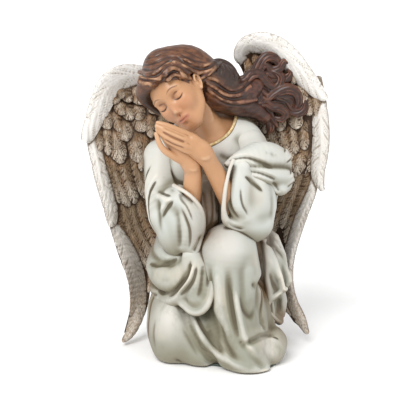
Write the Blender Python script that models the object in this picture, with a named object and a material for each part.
"""Kneeling, praying angel figurine: an assembly of hand-painted resin castings glued over steel pins.

The figure kneels on its right knee, rests its cheek on its joined hands and faces -Y. +Z is up. All
dimensions below are millimetres from a datum inside the figure; the finished pieces are lifted so that the
underside of the felt pad lies at Z = 0, and MM turns them into metres.
"""

import math

import bmesh
import bpy
from mathutils import Matrix, Vector

MM = 0.001
JOIN_GAP = 0.5  # clearance left all round where one casting seats against another
SHELF = -5.0  # level of the shelf under the felt pad, from the datum
FELT_THICKNESS = 1.2
ROBE_FLOOR = SHELF + FELT_THICKNESS + 0.3  # underside of the robe castings, just over the felt
PLATE_THICKNESS = 4.0
CAVITY_RADIUS = 27.0  # mouth of the hollow in the skirt casting
PIN_RADIUS = 2.5
PIN_LENGTH = 30.0
PIN_SEAT = 0.4  # radial clearance of a pin in its drilled hole
SPAN_STEPS = 5  # tube rings between two neighbouring points of a limb
ROUND = 14  # corners round a tube

PAINTS = {
    "robe": ((0.62, 0.65, 0.60), 0.55),
    "skin": ((0.72, 0.44, 0.28), 0.45),
    "hair": ((0.13, 0.055, 0.03), 0.45),
    "wing": ((0.60, 0.55, 0.48), 0.6),
    "gold_trim": ((0.62, 0.47, 0.24), 0.4),
    "resin": ((0.70, 0.68, 0.62), 0.7),
    "felt": ((0.10, 0.12, 0.10), 0.95),
    "steel": ((0.55, 0.55, 0.56), 0.35),
}


# ---------------------------------------------------------------- scene, paint and mesh helpers


def clear_scene():
    for obj in list(bpy.data.objects):
        bpy.data.objects.remove(obj)


def paint(name):
    """The Principled material of that paint, made once."""
    material = bpy.data.materials.get(name)
    if material is None:
        colour, roughness = PAINTS[name]
        material = bpy.data.materials.new(name)
        material.use_nodes = True
        shader = material.node_tree.nodes["Principled BSDF"]
        shader.inputs["Base Color"].default_value = (*colour, 1.0)
        shader.inputs["Roughness"].default_value = roughness
        shader.inputs["Metallic"].default_value = 1.0 if name == "steel" else 0.0
    return material


def to_object(name, mesh_builder, paint_name):
    """A new object holding a bmesh given in millimetres."""
    bmesh.ops.scale(mesh_builder, vec=(MM, MM, MM), verts=mesh_builder.verts)
    mesh = bpy.data.meshes.new(name)
    mesh_builder.to_mesh(mesh)
    mesh_builder.free()
    mesh.materials.append(paint(paint_name))
    obj = bpy.data.objects.new(name, mesh)
    bpy.context.scene.collection.objects.link(obj)
    return obj


def apply_modifiers(obj):
    """Gives the object the mesh that its modifiers make."""
    bpy.context.view_layer.update()
    graph = bpy.context.evaluated_depsgraph_get()
    made = bpy.data.meshes.new_from_object(obj.evaluated_get(graph))
    obj.modifiers.clear()
    obj.data = made


def keep_largest_body(obj):
    """Removes the offcuts that a Boolean leaves beside the main body."""
    work = bmesh.new()
    work.from_mesh(obj.data)
    left = set(work.verts)
    bodies = []
    while left:
        stack = [left.pop()]
        body = set(stack)
        while stack:
            for edge in stack.pop().link_edges:
                for vertex in edge.verts:
                    if vertex in left:
                        left.discard(vertex)
                        body.add(vertex)
                        stack.append(vertex)
        bodies.append(body)
    main = max(bodies, key=len)
    bmesh.ops.delete(work, geom=[v for v in work.verts if v not in main], context="VERTS")
    work.to_mesh(obj.data)
    work.free()


# ---------------------------------------------------------------- rounded forms


def catmull(points, steps):
    """A smooth run through the points, with `steps` stretches between neighbours."""
    points = [Vector(p) for p in points]
    padded = [2 * points[0] - points[1], *points, 2 * points[-1] - points[-2]]
    run = []
    for a, b, c, d in zip(padded, padded[1:], padded[2:], padded[3:]):
        for k in range(steps):
            t = k / steps
            run.append(
                0.5 * (2 * b + (c - a) * t + (2 * a - 5 * b + 4 * c - d) * t**2
                       + (3 * b - a - 3 * c + d) * t**3)
            )
    run.append(points[-1])
    return run


def add_ball(work, centre, radii, turn=(0, 0, 0)):
    """An ellipsoid turned by XYZ angles in degrees."""
    place = Matrix.Translation(centre)
    for axis, angle in zip("XYZ", turn):
        place = place @ Matrix.Rotation(math.radians(angle), 4, axis)
    bmesh.ops.create_uvsphere(
        work, u_segments=20, v_segments=12, radius=1, matrix=place @ Matrix.Diagonal((*radii, 1))
    )


def add_limb(work, points, radii, flat=1.0, flat_axis=(0, 1, 0)):
    """A tapered tube with domed ends through the points. `flat` thins it along flat_axis."""
    centres = catmull(points, SPAN_STEPS)
    widths = [v.x for v in catmull([(r, 0, 0) for r in radii], SPAN_STEPS)]
    thin = Vector(flat_axis).normalized()
    rings = []

    def ring(centre, direction, radius):
        side = direction.cross(Vector((0.31, 0.2, 0.93))).normalized()
        other = direction.cross(side)
        corners = []
        for k in range(ROUND):
            angle = 2 * math.pi * k / ROUND
            offset = (side * math.cos(angle) + other * math.sin(angle)) * radius
            offset -= thin * offset.dot(thin) * (1 - flat)
            corners.append(work.verts.new(centre + offset))
        rings.append(corners)

    ends = ((centres[0], centres[0] - centres[1], widths[0]),
            (centres[-1], centres[-1] - centres[-2], widths[-1]))
    dome = [(math.cos(a), math.sin(a)) for a in (math.radians(70), math.radians(35))]
    start, out, radius = ends[0]
    out = out.normalized()
    for across, along in dome:
        ring(start + out * radius * along, -out, radius * across)
    for k, (centre, radius) in enumerate(zip(centres, widths)):
        before, after = centres[max(k - 1, 0)], centres[min(k + 1, len(centres) - 1)]
        ring(centre, (after - before).normalized(), radius)
    end, out, radius = ends[1]
    out = out.normalized()
    for across, along in reversed(dome):
        ring(end + out * radius * along, out, radius * across)
    for a, b in zip(rings, rings[1:]):
        for k in range(ROUND):
            work.faces.new((a[k], a[(k + 1) % ROUND], b[(k + 1) % ROUND], b[k]))
    work.faces.new(reversed(rings[0]))
    work.faces.new(rings[-1])


def casting(name, paint_name, forms, voxel, triangles):
    """One fused body from overlapping rounded forms, remeshed, smoothed and thinned to `triangles`."""
    work = bmesh.new()
    for form in forms:
        kind, *values = form
        if kind == "ball":
            add_ball(work, *values)
        elif kind == "limb":
            add_limb(work, *values)
        else:
            values[0](work, *values[1:])
    bmesh.ops.recalc_face_normals(work, faces=work.faces)
    obj = to_object(name, work, paint_name)
    remesh = obj.modifiers.new("fuse", "REMESH")
    remesh.mode = "VOXEL"
    remesh.voxel_size = voxel * MM
    smooth = obj.modifiers.new("soften", "SMOOTH")
    smooth.factor = 0.5
    smooth.iterations = 4
    apply_modifiers(obj)
    keep_largest_body(obj)
    thin = obj.modifiers.new("thin", "DECIMATE")
    thin.ratio = triangles / (2 * len(obj.data.polygons))
    thin.use_collapse_triangulate = True
    apply_modifiers(obj)
    return obj


def boolean(obj, cutter, operation):
    modifier = obj.modifiers.new(operation.lower(), "BOOLEAN")
    modifier.operation = operation
    modifier.solver = "EXACT"
    modifier.object = cutter
    apply_modifiers(obj)


def grown_copy(obj, gap):
    """A copy of the object, larger by the gap all round, to be cut out of its neighbours."""
    cutter = obj.copy()
    cutter.data = obj.data.copy()
    bpy.context.scene.collection.objects.link(cutter)
    grow = cutter.modifiers.new("grow", "DISPLACE")
    grow.strength = gap * MM
    grow.mid_level = 0.0
    apply_modifiers(cutter)
    return cutter


def box_of(obj):
    corners = [vertex.co for vertex in obj.data.vertices]
    low = [min(c[k] for c in corners) for k in range(3)]
    high = [max(c[k] for c in corners) for k in range(3)]
    return low, high


def boxes_meet(obj, other):
    (low, high), (other_low, other_high) = box_of(obj), box_of(other)
    return all(low[k] < other_high[k] and other_low[k] < high[k] for k in range(3))


def seat_in_order(objects):
    """Earlier pieces keep their shape; every later one is cut back to fit round them."""
    cutters = [grown_copy(obj, JOIN_GAP) for obj in objects]
    for k, obj in enumerate(objects):
        for cutter in cutters[:k]:
            if boxes_meet(obj, cutter):
                boolean(obj, cutter, "DIFFERENCE")
        keep_largest_body(obj)
    for cutter in cutters:
        bpy.data.objects.remove(cutter)


def prism(name, outline, low, high, paint_name="resin"):
    """A flat-sided block between two heights with that outline in X and Y."""
    work = bmesh.new()
    corners = [work.verts.new((x, y, low)) for x, y in outline]
    face = work.faces.new(corners)
    made = bmesh.ops.extrude_face_region(work, geom=[face])
    top = [v for v in made["geom"] if isinstance(v, bmesh.types.BMVert)]
    bmesh.ops.translate(work, vec=(0, 0, high - low), verts=top)
    bmesh.ops.recalc_face_normals(work, faces=work.faces)
    return to_object(name, work, paint_name)


def rod(name, middle, direction, radius, length, paint_name="steel"):
    work = bmesh.new()
    turn = Vector(direction).to_track_quat("Z", "Y").to_matrix().to_4x4()
    bmesh.ops.create_cone(
        work, cap_ends=True, segments=16, radius1=radius, radius2=radius, depth=length,
        matrix=Matrix.Translation(middle) @ turn,
    )
    return to_object(name, work, paint_name)


def level_underside(obj):
    """Slices the casting off level, just over the felt."""
    reach = 400
    cutter = prism("slice", [(-reach, -reach), (reach, -reach), (reach, reach), (-reach, reach)],
                   -reach, ROBE_FLOOR)
    boolean(obj, cutter, "DIFFERENCE")
    bpy.data.objects.remove(cutter)
    keep_largest_body(obj)


# ---------------------------------------------------------------- wings


WING_ACROSS = 7  # strips between the inner and the outer edge
WING_STEPS = 2  # rings between two neighbouring rows
WING_THICKNESS = 8.0
WING_BEAD = 6.0  # extra thickness of the rolled leading edge
WING_ROOT = 9.0  # extra thickness where the wing meets the back

# Each row runs from the top of the wing to its tip: inner edge (x, y, z), outer edge (x, y, z).
RIGHT_OUTER = [(-66, 30, 283), (-86, 23, 290), (-104, 16, 273), (-112, 12, 252), (-117, 9, 228),
              (-118, 8, 208), (-110, 10, 190), (-108, 10, 174), (-102, 11, 142), (-101, 12, 108),
              (-93, 14, 96), (-84, 20, 66), (-79, 19, 34), (-84, 12, 4)]
RIGHT_INNER = [(-56, 34, 268), (-50, 38, 255), (-40, 42, 238), (-24, 40, 218), (-12, 34, 200),
              (-10, 34, 184), (-10, 36, 168), (-14, 40, 152), (-28, 46, 135), (-38, 47, 112),
              (-45, 45, 94), (-56, 42, 68), (-66, 31, 38), (-76, 17, 8)]
LEFT_OUTER = [(35, 29, 272), (30, 24, 291), (52, 22, 315), (82, 17, 301), (101, 13, 273),
               (114, 10, 249), (120, 9, 220), (122, 8, 196), (119, 9, 164), (108, 12, 152),
               (98, 15, 120), (88, 20, 82), (91, 22, 52), (107, 14, 9)]
LEFT_INNER = [(41, 32, 268), (42, 34, 262), (42, 38, 250), (36, 40, 234), (24, 38, 216),
               (14, 34, 200), (12, 34, 185), (12, 36, 168), (18, 42, 150), (30, 47, 132),
               (40, 47, 108), (53, 42, 80), (70, 33, 50), (97, 20, 10)]


def add_wing(work, outer, inner):
    """A cupped blade: flat behind the back, curving forward to a thick rolled leading edge."""
    outer, inner = catmull(outer, WING_STEPS), catmull(inner, WING_STEPS)
    rings = []
    last = len(outer) - 1
    for row, (rim, root) in enumerate(zip(outer, inner)):
        taper = min(1.0, 0.3 + 3.5 * min(row, last - row) / last)
        boss = max(0.0, 1 - abs(root.z - 182) / 45)
        front, back = [], []
        for k in range(WING_ACROSS + 1):
            t = k / WING_ACROSS
            point = root.lerp(rim, t)
            point.y = root.y + (rim.y - root.y) * t * t
            bead = WING_BEAD * max(0.0, 3 * t - 2) + WING_ROOT * boss * max(0.0, 1 - 3 * t)
            half = 0.5 * taper * (WING_THICKNESS + bead)
            if k in (0, WING_ACROSS):
                half *= 0.45
            front.append(work.verts.new(point - Vector((0, half, 0))))
            back.append(work.verts.new(point + Vector((0, half, 0))))
        rings.append(front + back[::-1])
    count = len(rings[0])
    for a, b in zip(rings, rings[1:]):
        for k in range(count):
            work.faces.new((a[k], a[(k + 1) % count], b[(k + 1) % count], b[k]))
    work.faces.new(reversed(rings[0]))
    work.faces.new(rings[-1])
    bmesh.ops.recalc_face_normals(work, faces=work.faces)
    bmesh.ops.triangulate(work, faces=work.faces)


def make_wings():
    """Each wing is one blade that seats against the back of the bodice."""
    wings = []
    for name, outer, inner in (("right_wing", RIGHT_OUTER, RIGHT_INNER),
                               ("left_wing", LEFT_OUTER, LEFT_INNER)):
        work = bmesh.new()
        add_wing(work, outer, inner)
        wings.append(to_object(name, work, "wing"))
    return wings


# ---------------------------------------------------------------- figure


def make_robe():
    skirt = casting("robe_skirt", "robe", [
        ("ball", (-30, -26, 28), (26, 38, 45)),
        ("limb", [(-28, -20, 46), (-16, 2, 70), (-2, 20, 88)], [25, 30, 32]),
        ("limb", [(12, 20, 96), (14, -20, 108), (14, -56, 117)], [33, 28, 25]),
        ("limb", [(14, -58, 114), (24, -62, 80), (40, -62, 45), (56, -60, 16)], [24, 22, 22, 22]),
        ("limb", [(30, -52, 60), (48, -66, 20), (56, -76, 2)], [24, 20, 12]),
        ("ball", (66, -48, 14), (17, 20, 20)),
        ("ball", (4, -34, 34), (44, 34, 44)),
        ("ball", (6, 22, 84), (42, 30, 38)),
        ("ball", (4, 26, 50), (44, 36, 40)),
        ("limb", [(-32, 0, 20), (-28, 36, 17), (-18, 66, 13)], [24, 22, 14]),
        ("limb", [(30, 20, 50), (34, 44, 26), (26, 60, 12)], [32, 26, 16]),
        ("ball", (44, -16, 38), (32, 40, 42)),
        ("ball", (38, 2, 82), (30, 34, 40)),
        ("ball", (2, 34, 14), (42, 42, 20)),
    ], voxel=3.0, triangles=1300)
    bodice = casting("robe_bodice", "robe", [
        ("limb", [(8, 14, 108), (3, 8, 140), (-2, 2, 175), (-4, 0, 200)], [37, 34, 33, 28]),
        ("limb", [(-40, -2, 190), (-20, 4, 208), (10, 8, 220), (30, 4, 214), (42, 0, 206)],
         [18, 20, 20, 21, 19]),
    ], voxel=3.0, triangles=520)
    return skirt, bodice


def make_sleeves():
    """Bell sleeves that hang from the forearms: right arm at -X, left arm at +X."""
    right = casting("right_sleeve", "robe", [
        ("limb", [(-40, -8, 190), (-42, -18, 165), (-36, -30, 138), (-26, -42, 118)],
         [16, 17, 19, 15]),
        ("limb", [(-30, -40, 128), (-19, -54, 140), (-14, -57, 162)], [17, 16, 15]),
        ("ball", (-14, -52, 122), (10, 13, 19)),
    ], voxel=2.5, triangles=520)
    left = casting("left_sleeve", "robe", [
        ("limb", [(42, -6, 205), (50, -14, 175), (52, -24, 145), (42, -38, 128)],
         [19, 22, 22, 13]),
        ("limb", [(42, -36, 134), (30, -48, 148), (24, -50, 174)], [19, 17, 14]),
        ("ball", (25, -50, 138), (13, 12, 17)),
    ], voxel=2.5, triangles=520)
    return right, left


def make_drapes():
    """Loose folds of the mantle: over the left elbow, hanging from it, and round the right hip."""
    wrap = casting("shawl_wrap", "robe", [
        ("limb", [(24, -44, 184), (46, -42, 191), (66, -26, 188), (76, -4, 176)], [7, 13, 15, 13]),
        ("limb", [(34, -42, 174), (54, -38, 174), (70, -20, 166), (73, 4, 160)], [7, 11, 13, 12]),
        ("ball", (68, -6, 150), (13, 14, 13)),
    ], voxel=2.5, triangles=420)
    tail = casting("shawl_tail", "robe", [
        ("limb", [(56, -18, 122), (66, -20, 100), (76, -20, 76), (80, -20, 58)],
         [12, 15, 14, 9], 0.6),
        ("limb", [(60, -26, 96), (68, -30, 68), (70, -30, 48), (76, -24, 44)],
         [12, 15, 13, 11], 0.6),
    ], voxel=2.2, triangles=380)
    swag = casting("hip_drape", "robe", [
        ("limb", [(-48, 6, 96), (-47, -14, 78), (-34, -38, 74), (-12, -56, 92), (2, -58, 104)],
         [10, 13, 14, 11, 7]),
        ("limb", [(-46, 0, 78), (-40, -22, 62), (-24, -44, 64), (-8, -56, 80)], [9, 11, 10, 8]),
        ("limb", [(-40, -6, 100), (-36, -26, 92), (-20, -46, 96)], [9, 11, 9]),
    ], voxel=2.5, triangles=480)
    return wrap, tail, swag


HEAD_CENTRE = Vector((-25.5, -24.5, 258.5))
HEAD_UP = Vector((-0.665, 0.036, 0.746)).normalized()
HEAD_FRONT = Vector((-0.304, -0.925, -0.227)).normalized()
HEAD_HEIGHT = 70.0  # chin to crown, without hair


def on_head(side, up, front):
    """A place given in fractions of the head's height from its centre; +side is the left ear."""
    across = HEAD_UP.cross(HEAD_FRONT)
    ahead = across.cross(HEAD_UP)
    return HEAD_CENTRE + (across * side + HEAD_UP * up + ahead * front) * HEAD_HEIGHT


def head_ball(side, up, front, radii):
    """An ellipsoid turned with the head; radii across, up and ahead in fractions of its height."""
    def build(work):
        across = HEAD_UP.cross(HEAD_FRONT).normalized()
        ahead = across.cross(HEAD_UP).normalized()
        turn = Matrix((across, ahead, HEAD_UP)).transposed().to_4x4()
        wide, tall, deep = (r * HEAD_HEIGHT for r in radii)
        place = Matrix.Translation(on_head(side, up, front)) @ turn
        bmesh.ops.create_uvsphere(
            work, u_segments=20, v_segments=12, radius=1,
            matrix=place @ Matrix.Diagonal((wide, deep, tall, 1)))
    return "shape", build


def make_head():
    """Head, neck and the bare skin of the upper chest. The face is calm, with lids closed."""
    forms = [
        head_ball(0, 0.10, -0.06, (0.34, 0.39, 0.42)),  # cranium
        head_ball(0, -0.14, 0.14, (0.28, 0.33, 0.24)),  # cheeks
        head_ball(0, -0.40, 0.27, (0.12, 0.10, 0.10)),  # chin
        head_ball(0, -0.235, 0.345, (0.10, 0.055, 0.06)),  # mouth
        ("limb", [on_head(0, 0.10, 0.29), on_head(0, -0.03, 0.35), on_head(0, -0.12, 0.40)],
         [3.0, 3.2, 4.0]),  # nose
        ("limb", [on_head(0, -0.10, -0.22), (-2, -6, 232), (8, -4, 220)], [20, 16, 18]),
        ("ball", (8, -11, 219), (23, 14, 14)),
    ]
    for side in (-1, 1):
        forms += [
            head_ball(0.15 * side, 0.0, 0.26, (0.085, 0.05, 0.07)),  # closed lid
            head_ball(0.13 * side, 0.10, 0.26, (0.14, 0.035, 0.06)),  # brow
            head_ball(0.335 * side, -0.06, -0.04, (0.03, 0.10, 0.06)),  # ear
        ]
    return casting("head", "skin", forms, voxel=1.2, triangles=1700)


def make_arms():
    """Bare forearms and joined hands. The left hand lies in front of the right."""
    left = casting("left_hand", "skin", [
        ("limb", [(36, -44, 132), (20, -58, 168), (3, -68, 200)], [11, 11, 8], 1.0),
        ("limb", [(3, -68, 200), (-14, -74, 214), (-26, -76, 223), (-40, -76, 232)],
         [9, 10, 7, 3], 0.62),
    ], voxel=1.3, triangles=420)
    right = casting("right_hand", "skin", [
        ("limb", [(-14, -50, 130), (-11, -56, 162), (-8, -61, 192)], [11, 10, 8], 1.0),
        ("limb", [(-7, -61, 194), (-16, -64, 206), (-28, -66, 220), (-41, -68, 230)],
         [9, 10, 7, 3], 0.62),
        ("limb", [(-20, -66, 200), (-32, -70, 208), (-39, -72, 220)], [5, 4, 3]),
    ], voxel=1.3, triangles=420)
    return left, right


def make_hair():
    """A cap over the skull, the long lock blown to the left shoulder and three big curls."""
    cap = casting("hair_cap", "hair", [
        head_ball(0, 0.14, -0.14, (0.42, 0.44, 0.44)),
        ("limb", [on_head(-0.38, 0.0, 0.04), on_head(-0.3, 0.3, 0.2), on_head(-0.1, 0.36, 0.27),
                  on_head(0.14, 0.34, 0.27), on_head(0.34, 0.16, 0.12)],
         [5, 7, 8, 8, 7]),  # waves round the forehead
        ("limb", [(-40, -22, 284), (-16, -18, 288), (4, -14, 276)], [18, 17, 15]),
    ], voxel=2.2, triangles=560)
    sweep = casting("hair_windswept_lock", "hair", [
        ("limb", [(-4, -14, 274), (14, -12, 266), (30, -6, 262), (46, 2, 254)], [17, 18, 16, 12]),
        ("limb", [(0, -10, 256), (18, -8, 250), (34, -4, 244), (48, 2, 240)], [11, 13, 13, 10]),
    ], voxel=2.2, triangles=420)
    curls = []
    routes = {
        "hair_curl_upper": [(38, 0, 262), (50, 4, 275), (64, 6, 276), (76, 6, 266), (86, 5, 268)],
        "hair_curl_middle": [(46, 2, 252), (60, 4, 258), (76, 4, 252), (86, 4, 240), (80, 4, 226)],
        "hair_curl_lower": [(40, 6, 238), (52, 8, 230), (64, 6, 228), (72, 5, 216), (66, 5, 204)],
    }
    for name, route in routes.items():
        curls.append(casting(name, "hair", [("limb", route, [10, 10, 9, 7, 3])],
                             voxel=1.8, triangles=240))
    return cap, sweep, *curls


def make_neckline():
    """The painted gold band along the robe's neck opening."""
    work = bmesh.new()
    route = [(31, 4, 242), (32, -8, 232), (27, -18, 222), (18, -26, 214), (8, -31, 209)]
    add_limb(work, route, [2.0] * len(route))
    bmesh.ops.recalc_face_normals(work, faces=work.faces)
    return to_object("neckline_trim", work, "gold_trim")


def make_pins():
    """Steel pins: two in each wing root and one up the neck."""
    places = {
        "right_wing_pin_upper": ((-22, 31, 187), (-1, 0.12, 0)),
        "right_wing_pin_lower": ((-22, 35, 160), (-1, 0.16, 0)),
        "left_wing_pin_upper": ((25, 31, 187), (1, 0.12, 0)),
        "left_wing_pin_lower": ((25, 35, 160), (1, 0.16, 0)),
        "neck_pin": ((8, -4, 198), (0, -0.2, 0.98)),
    }
    return {name: rod(name, middle, direction, PIN_RADIUS, PIN_LENGTH)
            for name, (middle, direction) in places.items()}


def drill(pin, *castings):
    """Opens a clearance hole for the pin in each casting."""
    cutter = grown_copy(pin, PIN_SEAT)
    for obj in castings:
        boolean(obj, cutter, "DIFFERENCE")
        keep_largest_body(obj)
    bpy.data.objects.remove(cutter)


def hollow_out(skirt):
    """The skirt is cast hollow: its cavity opens downwards and a plate closes the mouth."""
    work = bmesh.new()
    add_limb(work, [(4, -2, -30), (4, -2, -10), (4, -2, 10), (4, -2, 30), (6, 6, 62), (8, 12, 84)],
             [CAVITY_RADIUS, CAVITY_RADIUS, CAVITY_RADIUS, CAVITY_RADIUS, 25, 16])
    bmesh.ops.recalc_face_normals(work, faces=work.faces)
    cutter = to_object("cavity", work, "resin")
    boolean(skirt, cutter, "DIFFERENCE")
    bpy.data.objects.remove(cutter)
    keep_largest_body(skirt)


def make_base():
    radius = CAVITY_RADIUS - 1.6
    plate = [(4 + radius * math.cos(a), -2 + radius * math.sin(a))
             for a in (2 * math.pi * k / 40 for k in range(40))]
    base_plate = prism("base_plate", plate, ROBE_FLOOR, ROBE_FLOOR + PLATE_THICKNESS)
    outline = [(-42, -34), (-24, -50), (10, -58), (48, -72), (64, -64), (72, -44), (62, -10),
               (52, 30), (30, 56), (-6, 66), (-26, 62), (-42, 30), (-48, -2)]
    rounded = [(v.x, v.y) for v in catmull([(x, y, 0) for x, y in [*outline, outline[0]]], 3)[:-1]]
    felt = prism("felt_pad", rounded, SHELF, SHELF + FELT_THICKNESS, "felt")
    return base_plate, felt


def main():
    clear_scene()
    pins = make_pins()
    head = make_head()
    left_hand, right_hand = make_arms()
    trim = make_neckline()
    cap, sweep, upper, middle, lower = make_hair()
    skirt, bodice = make_robe()
    right_sleeve, left_sleeve = make_sleeves()
    wrap, tail, swag = make_drapes()
    right_wing, left_wing = make_wings()
    make_base()

    seat_in_order([
        trim, left_hand, right_hand, head, cap, sweep, middle, upper, lower, right_sleeve,
        left_sleeve, wrap, tail, swag, bodice, skirt, right_wing, left_wing,
    ])
    level_underside(skirt)
    level_underside(tail)
    hollow_out(skirt)

    drill(pins["right_wing_pin_upper"], right_wing, bodice)
    drill(pins["right_wing_pin_lower"], right_wing, bodice)
    drill(pins["left_wing_pin_upper"], left_wing, bodice)
    drill(pins["left_wing_pin_lower"], left_wing, bodice)
    drill(pins["neck_pin"], head, bodice)
    for obj in bpy.data.objects:
        obj.data.transform(Matrix.Translation((0, 0, -SHELF * MM)))


main()
